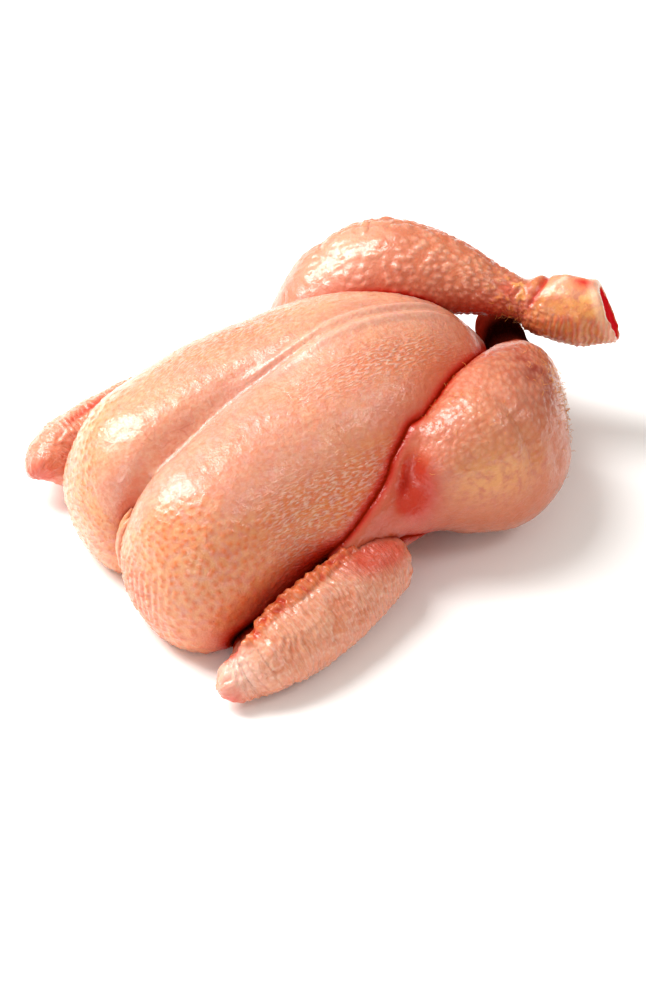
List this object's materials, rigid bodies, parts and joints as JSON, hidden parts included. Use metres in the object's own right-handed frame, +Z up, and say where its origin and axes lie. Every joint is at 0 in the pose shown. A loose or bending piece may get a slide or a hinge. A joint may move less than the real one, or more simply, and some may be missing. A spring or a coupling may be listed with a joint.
{
  "type": "whole raw chicken",
  "caption": "Whole raw chicken, plucked and drawn, lying on its back with the breast up, the wings folded at its sides and the cut drumsticks crossed over the vent.",
  "frame": {"origin": "middle of the bird's footprint, on the surface it lies on", "axes": "+X from the neck end towards the tail and the crossed hocks, +Y towards the bird's left side, +Z up from the table"},
  "size_m": [0.2863, 0.2118, 0.1043],
  "materials": {
    "raw_skin": "moist raw poultry skin, semi-translucent, peach pink with orange feather follicles and red creases"
  },
  "bodies": {
    "root": {"chicken": "raw_skin"}
  },
  "joints": []
}
